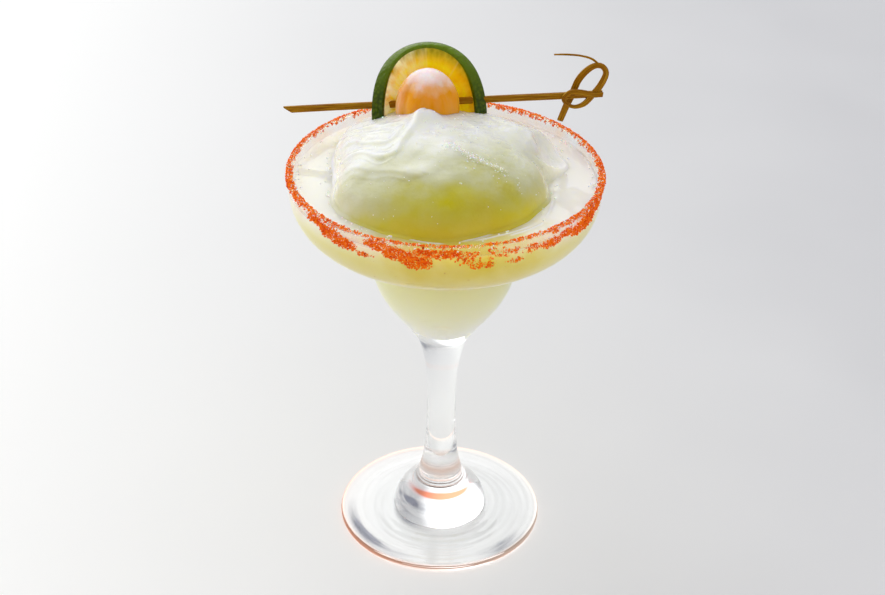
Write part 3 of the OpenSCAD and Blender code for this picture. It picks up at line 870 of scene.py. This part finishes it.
def lime_slice(cols):
    """Front face, rounded rind edge and back face as one profile turned about the slice's middle.
    Each segment swells between its skins, and juice sacs are small radial bumps on it."""
    half = wheel_t / 2
    face = np.linspace(0, wheel_r - edge_round, 62)[1:]
    face = np.stack([face, np.full(len(face), half)], 1)
    rim = arc([wheel_r - edge_round, half - edge_round], edge_round, 90, 0, 5)[1:]
    across = np.linspace(1, -1, 5)
    bulge = np.stack([wheel_r + 0.12 * np.cos(across), (half - 1.1) * across], 1)
    front = np.vstack([face, rim])
    profile = np.vstack([front, bulge, (front * [1, -1])[::-1]])
    a = np.linspace(0, 2 * np.pi, cols, endpoint=False)
    rho = np.repeat(profile[:, 0], cols)
    depth = np.repeat(profile[:, 1], cols)
    angle = np.tile(a, len(profile))
    flat = np.stack([rho * np.sin(angle), rho * np.cos(angle)], 1)
    share = (angle / (2 * np.pi) * segments) % 1
    skin = np.minimum(share, 1 - share) * 2 * np.pi / segments * rho
    flesh = smooth_step(wheel_r - rind_t - rho, 0, 1.5) * smooth_step(rho, 1.5, 4)
    sacs = clouds(np.stack([rho * 0.45, angle * 14, np.sign(depth) * 7], 1), 1.0)
    relief = smooth_step(skin, 0.1, 1.6) * flesh * (0.16 + 0.2 * sacs)
    depth = depth + np.sign(depth) * relief * (np.abs(depth) > half - 0.01)
    points = bent_slice(flat, depth)
    poles = bent_slice(np.zeros((2, 2)), np.array([half, -half]))
    return np.vstack([points, poles]), wrapped_faces(len(profile), cols), np.vstack([flat, [[0, 0], [0, 0]]])


def slice_axes(tree):
    """The slice's own flat coordinates: distance from its middle in millimetres, and angle."""
    flat = attribute(tree, "slice_place")["Vector"]
    axes = tree.nodes.new("ShaderNodeSeparateXYZ")
    tree.links.new(flat, axes.inputs["Vector"])
    length = tree.nodes.new("ShaderNodeVectorMath")
    length.operation = "LENGTH"
    tree.links.new(flat, length.inputs[0])
    return length.outputs["Value"], sums(tree, "ARCTAN2", axes.outputs["X"], axes.outputs["Y"])


def cells(tree, place, scale):
    """Distance to the middle of the nearest of many small cells, as in juice sacs or oil glands."""
    node = tree.nodes.new("ShaderNodeTexVoronoi")
    set_inputs(node, {"Scale": scale})
    tree.links.new(place, node.inputs["Vector"])
    return node.outputs["Distance"]


def cut_lime():
    """The cut face: amber-yellow juice sacs drawn out from the middle, faint skins between segments,
    then an olive pith that is broad at the top and a dark green line down the sides. Painted light: the rind
    lighter at the top, an orange glow low down, pale highlights on the left, a faint glow all over."""
    material, tree, shader = blank_material("cut_lime")
    place, (x, y, z) = object_place(tree)
    rho, angle = slice_axes(tree)
    high = climb(tree, z, level + 24, level + 34)
    share = sums(tree, "FRACT", product(tree, angle, segments / (2 * np.pi)))
    off = sums(tree, "SUBTRACT", 0.5, sums(tree, "ABSOLUTE", sums(tree, "SUBTRACT", share, 0.5)))
    skin = climb(tree, product(tree, off, rho, 2 * np.pi / segments), skin_t, 0)
    stretch = tree.nodes.new("ShaderNodeCombineXYZ")
    tree.links.new(product(tree, rho, 0.22), stretch.inputs["X"])
    tree.links.new(product(tree, angle, 9.0), stretch.inputs["Y"])
    drawn_out = stretch.outputs["Vector"]
    sacs = cells(tree, drawn_out, 1.6)
    outward = sums(tree, "ADD", sums(tree, "DIVIDE", rho, wheel_r), product(tree, high, 0.05))
    hue = colour_ramp(tree, outward, [
        (0.0, (0.98, 0.84, 0.15)), (0.35, (0.97, 0.83, 0.0)), (0.74, (0.97, 0.93, 0.0)),
        (0.84, (0.74, 0.53, 0.0)), (0.93, (0.38, 0.29, 0.0)), (1.0, (0.20, 0.18, 0.0)),
    ])
    hue = mixed(tree, climb(tree, sacs, 0, 2.5), hue, (0.98, 0.80, 0.06))
    # painted glow: orange light on the lower flesh, away from the top
    amber = product(tree, sums(tree, "SUBTRACT", 1.0, high), mottle(tree, place, 150, 3), 0.6)
    hue = mixed(tree, amber, hue, (0.86, 0.40, 0.0))
    # painted highlight: pale yellow patches on the left of the flesh
    left = climb(tree, x, wheel_back[0], wheel_back[0] - 11.1)
    hue = mixed(tree, product(tree, left, mottle(tree, drawn_out, 0.7, 4)), hue, (1.0, 0.97, 0.60))
    hue = mixed(tree, product(tree, skin, 0.22), hue, (0.98, 0.86, 0.30))
    pith_end = sums(tree, "ADD", wheel_r - rind_t, product(tree, high, 0.5 * rind_t))
    rind = climb(tree, sums(tree, "SUBTRACT", rho, pith_end), 0, 0.71)
    # painted light: the rind line is lighter green at the top, where light falls, and dark down the shaded
    # sides
    hue = mixed(tree, rind, hue, mixed(tree, high, (0.030, 0.065, 0.0), (0.13, 0.17, 0.0)))
    # painted glow: the face shines faintly in its own colour, for the window light coming through
    paint(tree, shader, hue, 0.14)
    set_inputs(shader, {
        "Roughness": 0.3, "Specular IOR Level": 0.08,
        "Subsurface Weight": 0.4, "Subsurface Radius": (1.0, 1.0, 0.2), "Subsurface Scale": 0.004,
    })
    bumped(tree, shader, sacs, 0.4, -0.0004)
    return material


def pitted_peel():
    """Glossy wet peel: light green at the top of the slice and dark green down its sides, painted light
    and shade, with pale oil glands and the pits over them."""
    material, tree, shader = blank_material("pitted_peel")
    place, (x, y, z) = object_place(tree)
    pits = cells(tree, place, 750)
    hue = mixed(tree, mottle(tree, place, 160, 3), (0.018, 0.046, 0.0), (0.048, 0.070, 0.0))
    # painted light: the peel is lighter green at the top of the slice, where light falls
    hue = mixed(tree, climb(tree, z, level + 20, level + 35), hue, (0.13, 0.22, 0.0))
    paint(tree, shader, mixed(tree, climb(tree, pits, 0, 0.71), (0.10, 0.15, 0.0), hue))
    set_inputs(shader, {"Roughness": 0.16, "Specular IOR Level": 0.2})
    height = sums(tree, "ADD", sums(tree, "MINIMUM", pits, 0.4), mottle(tree, place, 300, 3))
    bumped(tree, shader, height, 0.6, 0.0005)
    return material


points, faces, flat = lime_slice(260)
lime = lay_mesh("lime_slice", points, faces)
store(lime, "slice_place", "FLOAT_VECTOR", np.column_stack([flat, np.zeros(len(flat))]))
lime.data.materials.append(cut_lime())
lime.data.materials.append(pitted_peel())
outermost = np.hypot(*flat.T)[[face[0] for face in faces]] > wheel_r - edge_round - 0.05
lime.data.polygons.foreach_set("material_index", outermost.astype(np.int32))
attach(lime, "root")
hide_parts("lime_wheel")


# ---------------------------------------------------------------- Lychee
# A peeled lychee on end in the fold of the lime. Wet, translucent flesh: pinkish white at the crown,
# amber where light from behind comes through it, with faint creases from crown to base.

lychee_r, lychee_half, relief_room = 12.4, 16.5, 0.3
lychee_at = wheel_back + [0, -wheel_t / 2 - lychee_r + 0.064, 6.3]


def peeled_lychee(rings, cols):
    """Egg: radius times the sine of the polar angle, fuller below; long creases and soft dents are
    cut into it."""
    t = np.linspace(0, np.pi, rings + 2)[1:-1, None]
    a = np.linspace(0, 2 * np.pi, cols, endpoint=False)[None, :]
    way = np.stack([np.sin(t) * np.cos(a), np.sin(t) * np.sin(a), np.cos(t) + 0 * a], 2)
    crease = 0.10 * np.sin(9 * a + 2.5 * np.sin(2 * t)) * np.sin(t) ** 2
    for groove, deep in ((-2.5, 1.1), (-0.55, 0.7), (1.4, 0.8)):
        crease = crease - deep * np.exp(-(((a - groove % (2 * np.pi)) / 0.22) ** 2)) * np.sin(t) ** 0.7
    dents = 0.45 * clouds(way * 12, 6.5) + 0.10 * clouds(way * 12, 1.9)
    r = (lychee_r - relief_room) * (1 - 0.02 * np.cos(t)) + crease + dents
    half = lychee_half - relief_room
    points = way * np.stack([r, r, half + dents], 2)
    points = np.vstack([points.reshape(-1, 3), [[0, 0, half], [0, 0, -half]]]) + lychee_at
    return points, [face[::-1] for face in wrapped_faces(rings, cols)]


def stretched(tree, vector, scale):
    """A vector with its axes scaled, so that a pattern read from it is drawn out along one of them."""
    node = tree.nodes.new("ShaderNodeMapping")
    set_inputs(node, {"Scale": scale})
    tree.links.new(vector, node.inputs["Vector"])
    return node.outputs["Vector"]


def lychee_flesh():
    """Pinkish-white crown over amber, the amber painted light from behind, with pale streaks along the
    creases, made stronger on the left as a painted rim highlight, and a faint painted glow.
    """
    material, tree, shader = blank_material("lychee_flesh")
    place, (x, y, z) = object_place(tree)
    crown = lychee_at[2] + lychee_half
    patches = product(tree, mottle(tree, place, 190, 3), 0.16)
    depth = sums(tree, "ADD", climb(tree, z, crown, crown - 16), patches)
    # painted light: amber low down, where light from behind comes through, pinkish white at the crown
    hue = colour_ramp(tree, depth, [
        (0.10, (0.95, 0.82, 0.82)), (0.28, (0.86, 0.64, 0.56)), (0.40, (0.84, 0.45, 0.16)),
        (0.54, (0.82, 0.33, 0.0)), (0.85, (0.83, 0.33, 0.0)),
    ])
    streaks = mottle(tree, stretched(tree, place, (420, 420, 60)), 1.0, 3)
    # painted highlight: the pale streaks are much stronger on the left, a rim of light at the upper left
    left = climb(tree, x, lychee_at[0] - 7, lychee_at[0] - 10.85)
    streaks_and_rim_highlight = sums(tree, "MULTIPLY", sums(tree, "ADD", left, 0.15), streaks, clamp=True)
    hue = mixed(tree, product(tree, streaks_and_rim_highlight, 0.5), hue, (0.94, 0.64, 0.54))
    # painted glow: the flesh shines faintly in its own colour
    paint(tree, shader, hue, 0.07)
    set_inputs(shader, {
        "Roughness": 0.2, "IOR": 1.36, "Specular IOR Level": 0.14,
        "Subsurface Weight": 1.0, "Subsurface Radius": (1.0, 0.6, 0.35), "Subsurface Scale": 0.003,
    })
    bumped(tree, shader, streaks, 0.4, 0.0005)
    return material


points, faces = peeled_lychee(120, 200)
lychee = lay_mesh("lychee_fruit", points, faces)
lychee.data.materials.append(lychee_flesh())
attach(lychee, "root")
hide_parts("lychee")


# ---------------------------------------------------------------- Pick
# A flat pick of split bamboo through lime and lychee. Its far end is split into a strand that is
# tied in an open loop round the shaft, with a tail hanging down and one loose pale fibre.

pick_l, pick_w, pick_t, pick_cut = 120.0, 2.5, 1.7, 3.2
pick_reach, pick_rise = 65.6, np.radians(4.3)
pick_end = lychee_at + [0, 5.4, 0.4] + pick_reach * np.array([np.cos(pick_rise), 0, np.sin(pick_rise)])
flatness = 0.45
strand_t, fibre_t = 1.1, 0.6
strand = [
    # the route of the split strand from the tip of its tail to the shaft, from the shaft's end
    (-16, 4, -12.2), (-13.5, 2.6, -5.5), (-11.3, 1.6, -0.5), (-8.9, 1.4, 5.2), (-5.8, 0.8, 9.2),
    (-2.6, 0.2, 11.4), (0.2, 0, 11), (1.4, -0.3, 8.2), (-0.7, -1, 4), (-3.8, -1.6, 0.4),
    (-6.9, -1.2, -3.2), (-10.3, -0.6, -4.6), (-13.2, -0.8, -3.4), (-14.6, -1.8, -0.4),
    (-12, -2.6, 2.3), (-8.6, -2.8, 2.2), (-4.4, -2.4, 1), (0, -1.2, 0.2),
]
strand_w = [2.3, 2.6, 2.6, 2.6, 2.5, 2.2, 2.0, 2.3, 2.5, 2.4, 2.0, 1.4, 1.3, 1.6, 2.1, 2.4, 2.4, 1.9]
fibre = [(-0.6, 0, 11.2), (-3.5, 0, 14.2), (-7.6, 0.2, 15.7), (-12.4, 0.4, 16.4), (-17.6, 0.4, 16.7)]
fibre_w = [0.9, 0.8, 0.7, 0.7, 0.5]


def strip(path, width, thick, sides=16):
    """A rounded flat section, a superellipse width by thick, carried along the path with its flat
    side to the front. Returns points, faces and (along, across) in millimetres for the grain."""
    along = np.gradient(path, axis=0)
    along /= np.linalg.norm(along, axis=1)[:, None]
    across = np.stack([-along[:, 2], 0 * along[:, 0], along[:, 0]], 1)
    across /= np.linalg.norm(across, axis=1)[:, None]
    deep = np.cross(along, across)
    a = np.linspace(0, 2 * np.pi, sides, endpoint=False)
    cx, cy = (np.sign(v) * np.abs(v) ** flatness for v in (np.cos(a), np.sin(a)))
    width = np.broadcast_to(width, len(path))[:, None, None] / 2
    points = path[:, None] + across[:, None] * width * cx[None, :, None]
    points = points + deep[:, None] * thick / 2 * cy[None, :, None]
    run = np.concatenate([[0], np.cumsum(np.linalg.norm(np.diff(path, axis=0), axis=1))])
    grain = np.stack([np.repeat(run, sides), (width[..., 0] * cx).ravel(), np.tile(cy, len(path))], 1)
    points = np.vstack([points.reshape(-1, 3), path[:1], path[-1:]])
    grain = np.vstack([grain, [[0, 0, 0], [run[-1], 0, 0]]])
    return points, wrapped_faces(len(path), sides), grain


def routed_strip(route, widths, thick, steps, sides=16):
    """The strip along a smooth curve through the route, its width following the list in step."""
    width = smooth_route(np.array(widths)[:, None], steps)[:, 0]
    return strip(smooth_route(route, steps), width, thick, sides)


def bamboo():
    """Split bamboo: dark and pale fibres along the strip."""
    material, tree, shader = blank_material("split_bamboo")
    fibres = stretched(tree, attribute(tree, "grain_place")["Vector"], (0.06, 3.2, 0.8))
    fibres = mottle(tree, fibres, 1.6, 5)
    hue = colour_ramp(tree, fibres, [
        (0.0, (0.17, 0.055, 0.0)), (0.45, (0.33, 0.135, 0.0)), (0.8, (0.45, 0.225, 0.004)),
        (1.0, (0.56, 0.36, 0.04)),
    ])
    paint(tree, shader, hue)
    set_inputs(shader, {"Roughness": 0.5, "Specular IOR Level": 0.1})
    bumped(tree, shader, fibres, 0.5, 0.0002)
    return material


shaft_x = np.linspace(-pick_l, 0, 90)
shaft_path = np.stack([shaft_x, 0 * shaft_x, 0.05 * np.sin(shaft_x / 9)], 1)
shaft_points, shaft_faces, shaft_grain = strip(shaft_path, pick_w, pick_t)
cut_end = smooth_step(-pick_l + 4 - shaft_points[:, 0], 0, 4)
shaft_points[:, 0] += pick_cut * cut_end * (0.5 - shaft_points[:, 2] / pick_w)
strips = [
    (shaft_points, shaft_faces, shaft_grain),
    routed_strip(strand, strand_w, strand_t, 9),
    routed_strip(fibre, fibre_w, fibre_t, 10, 10),
]
strip_points, strip_faces, strip_grain = zip(*strips)
starts = np.cumsum([0] + [len(p) for p in strip_points])
faces = [[i + start for i in face] for start, group in zip(starts, strip_faces) for face in group]
rise = np.array(Matrix.Rotation(-pick_rise, 3, "Y"))
pick = lay_mesh("bamboo_pick", np.vstack(strip_points) @ rise.T + pick_end, faces)
store(pick, "grain_place", "FLOAT_VECTOR", np.vstack(strip_grain))
pick.data.materials.append(bamboo())
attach(pick, "root")
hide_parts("pick")


# ---------------------------------------------------------------- Floor, light and camera
# A plain pale floor in a bright room, with a broad soft window behind and to the left, and two
# cards beside the view for the glass to mirror. The camera looks down with a moderately long lens.

floor_half, floor_drop = 4000, 0.03
floor_corners = [
    (x * floor_half, y * floor_half, -floor_drop) for x, y in ((-1, -1), (1, -1), (1, 1), (-1, 1))
]


def pale_floor():
    """Matt pale floor, brightest at the left and greyer to the right as painted window light, with faint
    broad patches.
    """
    material, tree, shader = blank_material("pale_floor")
    place, (x, y, z) = object_place(tree)
    # painted light: the floor's colour fades from the bright left to the grey right, as the window's light
    # falls off
    across = sums(tree, "ADD", product(tree, x, 0.0016), product(tree, y, 0.0001))
    bright = colour_ramp(tree, sums(tree, "ADD", across, 0.5), [
        (0.1, (0.99, 0.99, 0.97)), (0.45, (0.77, 0.77, 0.77)), (0.9, (0.58, 0.58, 0.595)),
    ])
    bright = mixed(tree, product(tree, mottle(tree, place, 7, 2), 0.1), bright, (0.95, 0.95, 0.95))
    paint(tree, shader, bright, 0.06)
    set_inputs(shader, {"Roughness": 0.7, "Specular IOR Level": 0.2})
    return material


floor = lay_mesh("floor", floor_corners, [(0, 1, 2, 3)], smooth=False)
floor.data.materials.append(pale_floor())


def mirrored_card(name, start, end, height, colour, shine):
    """An upright card from start to end on the floor that only the glass mirrors: the camera itself
    doesn't see it."""
    corners = [(*start, 0), (*end, 0), (*end, height), (*start, height)]
    card = lay_mesh(name, corners, [(0, 1, 2, 3)], smooth=False)
    material, tree, shader = blank_material(name)
    colour = (*colour, 1)
    set_inputs(shader, {"Base Color": colour, "Emission Color": colour, "Emission Strength": shine})
    card.data.materials.append(material)
    card.visible_camera = False


mirrored_card("dark_card", (-620, -200), (-400, -520), 220, (0.05, 0.06, 0.08), 0.0)
mirrored_card("peach_card", (-300, -520), (450, -520), 90, (0.85, 0.28, 0.10), 0.35)

window_way = (-0.42, 0.68, 0.60)
world = bpy.data.worlds.new("room")
bpy.context.scene.world = world
world.use_nodes = True
tree = world.node_tree
sky = tree.nodes["Background"]
way = tree.nodes.new("ShaderNodeTexCoord").outputs["Object"]
to_window = tree.nodes.new("ShaderNodeVectorMath")
to_window.operation = "DOT_PRODUCT"
to_window.inputs[1].default_value = window_way
tree.links.new(way, to_window.inputs[0])
window = tree.nodes.new("ShaderNodeMapRange")
window.interpolation_type = "SMOOTHSTEP"
set_inputs(window, {"From Min": 0.70, "From Max": 0.98, "To Min": 0.68, "To Max": 2.5})
tree.links.new(to_window.outputs["Value"], window.inputs["Value"])
tree.links.new(window.outputs["Result"], sky.inputs["Strength"])
set_inputs(sky, {"Color": (0.98, 0.985, 1.0, 1)})

camera_data = bpy.data.cameras.new("camera")
camera_data.lens = 74.8
camera_data.clip_end = 20
camera = bpy.data.objects.new("camera", camera_data)
bpy.context.scene.collection.objects.link(camera)
camera_at = Matrix.Translation((-0.0003, -0.5962, 0.4715))
look_down, lean = np.radians(90 - 31.8), np.radians(1.0)
camera.matrix_world = camera_at @ Matrix.Rotation(look_down, 4, "X") @ Matrix.Rotation(lean, 4, "Z")
bpy.context.scene.camera = camera
bpy.context.scene.view_settings.view_transform = "Standard"
